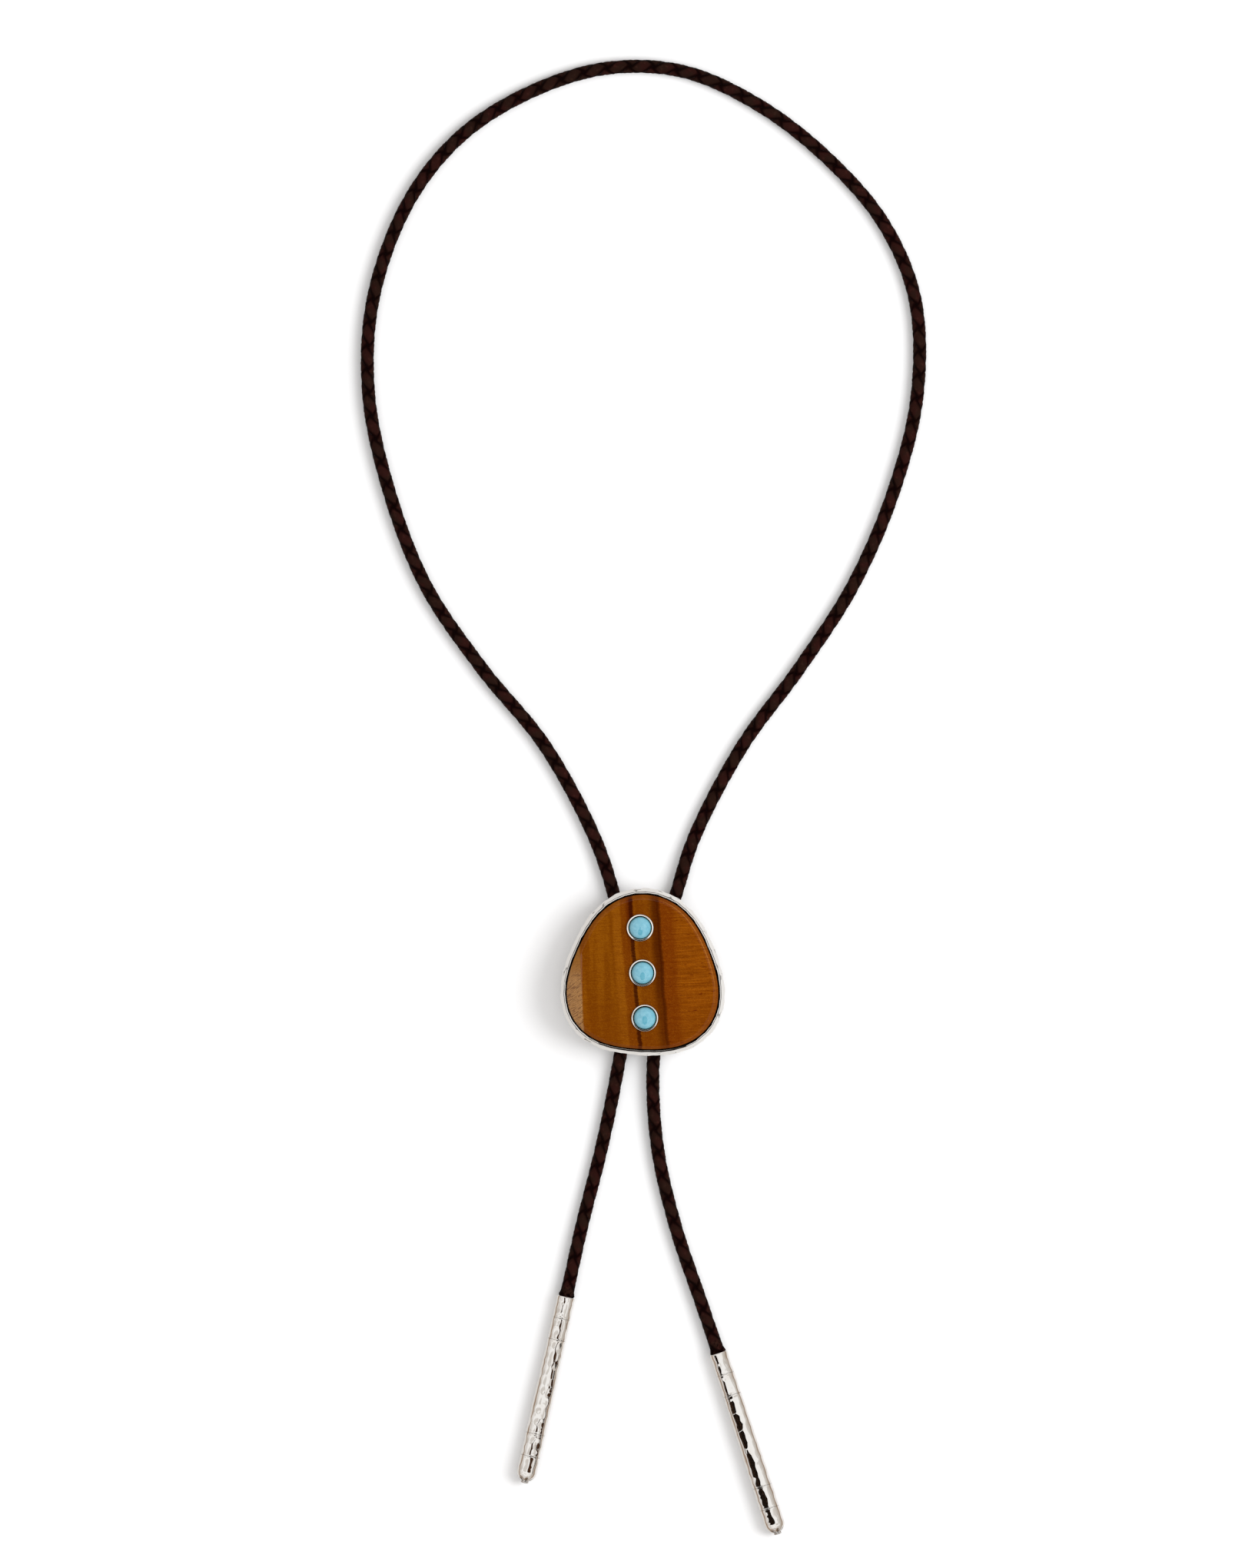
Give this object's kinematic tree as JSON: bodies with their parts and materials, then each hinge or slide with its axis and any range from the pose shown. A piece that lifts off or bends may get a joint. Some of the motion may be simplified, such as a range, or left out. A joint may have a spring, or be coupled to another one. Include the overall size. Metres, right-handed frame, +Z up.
{
  "type": "bolo tie",
  "caption": "Braided leather bolo tie: a tiger's eye slide in a hammered silver bezel with turquoise cabochons, and silver tube tips on the cord's ends.",
  "frame": {"origin": "on the surface that the tie lies on, under the middle of the slide's box", "axes": "+X to the right, +Y towards the top of the neck loop, +Z up from the surface"},
  "size_m": [0.1631, 0.4254, 0.0158],
  "materials": {
    "silver": "polished silver, hammered on the bezel's wall and the tips",
    "tiger_eye": "polished golden-brown tiger's eye with two dark red-brown bands",
    "turquoise": "polished sky-blue turquoise",
    "clasp_metal": "plain satin metal",
    "leather": "four-strand round braid of very dark brown leather, slightly glossy"
  },
  "bodies": {
    "root": {"bezel_cup": "silver", "tiger_eye_stone": "tiger_eye", "turquoise_cup_top": "silver", "turquoise_top": "turquoise", "turquoise_cup_middle": "silver", "turquoise_middle": "turquoise", "turquoise_cup_bottom": "silver", "turquoise_bottom": "turquoise", "cord_clasp": "clasp_metal", "braided_cord": "leather", "tip_left": "silver", "tip_right": "silver"}
  },
  "joints": []
}
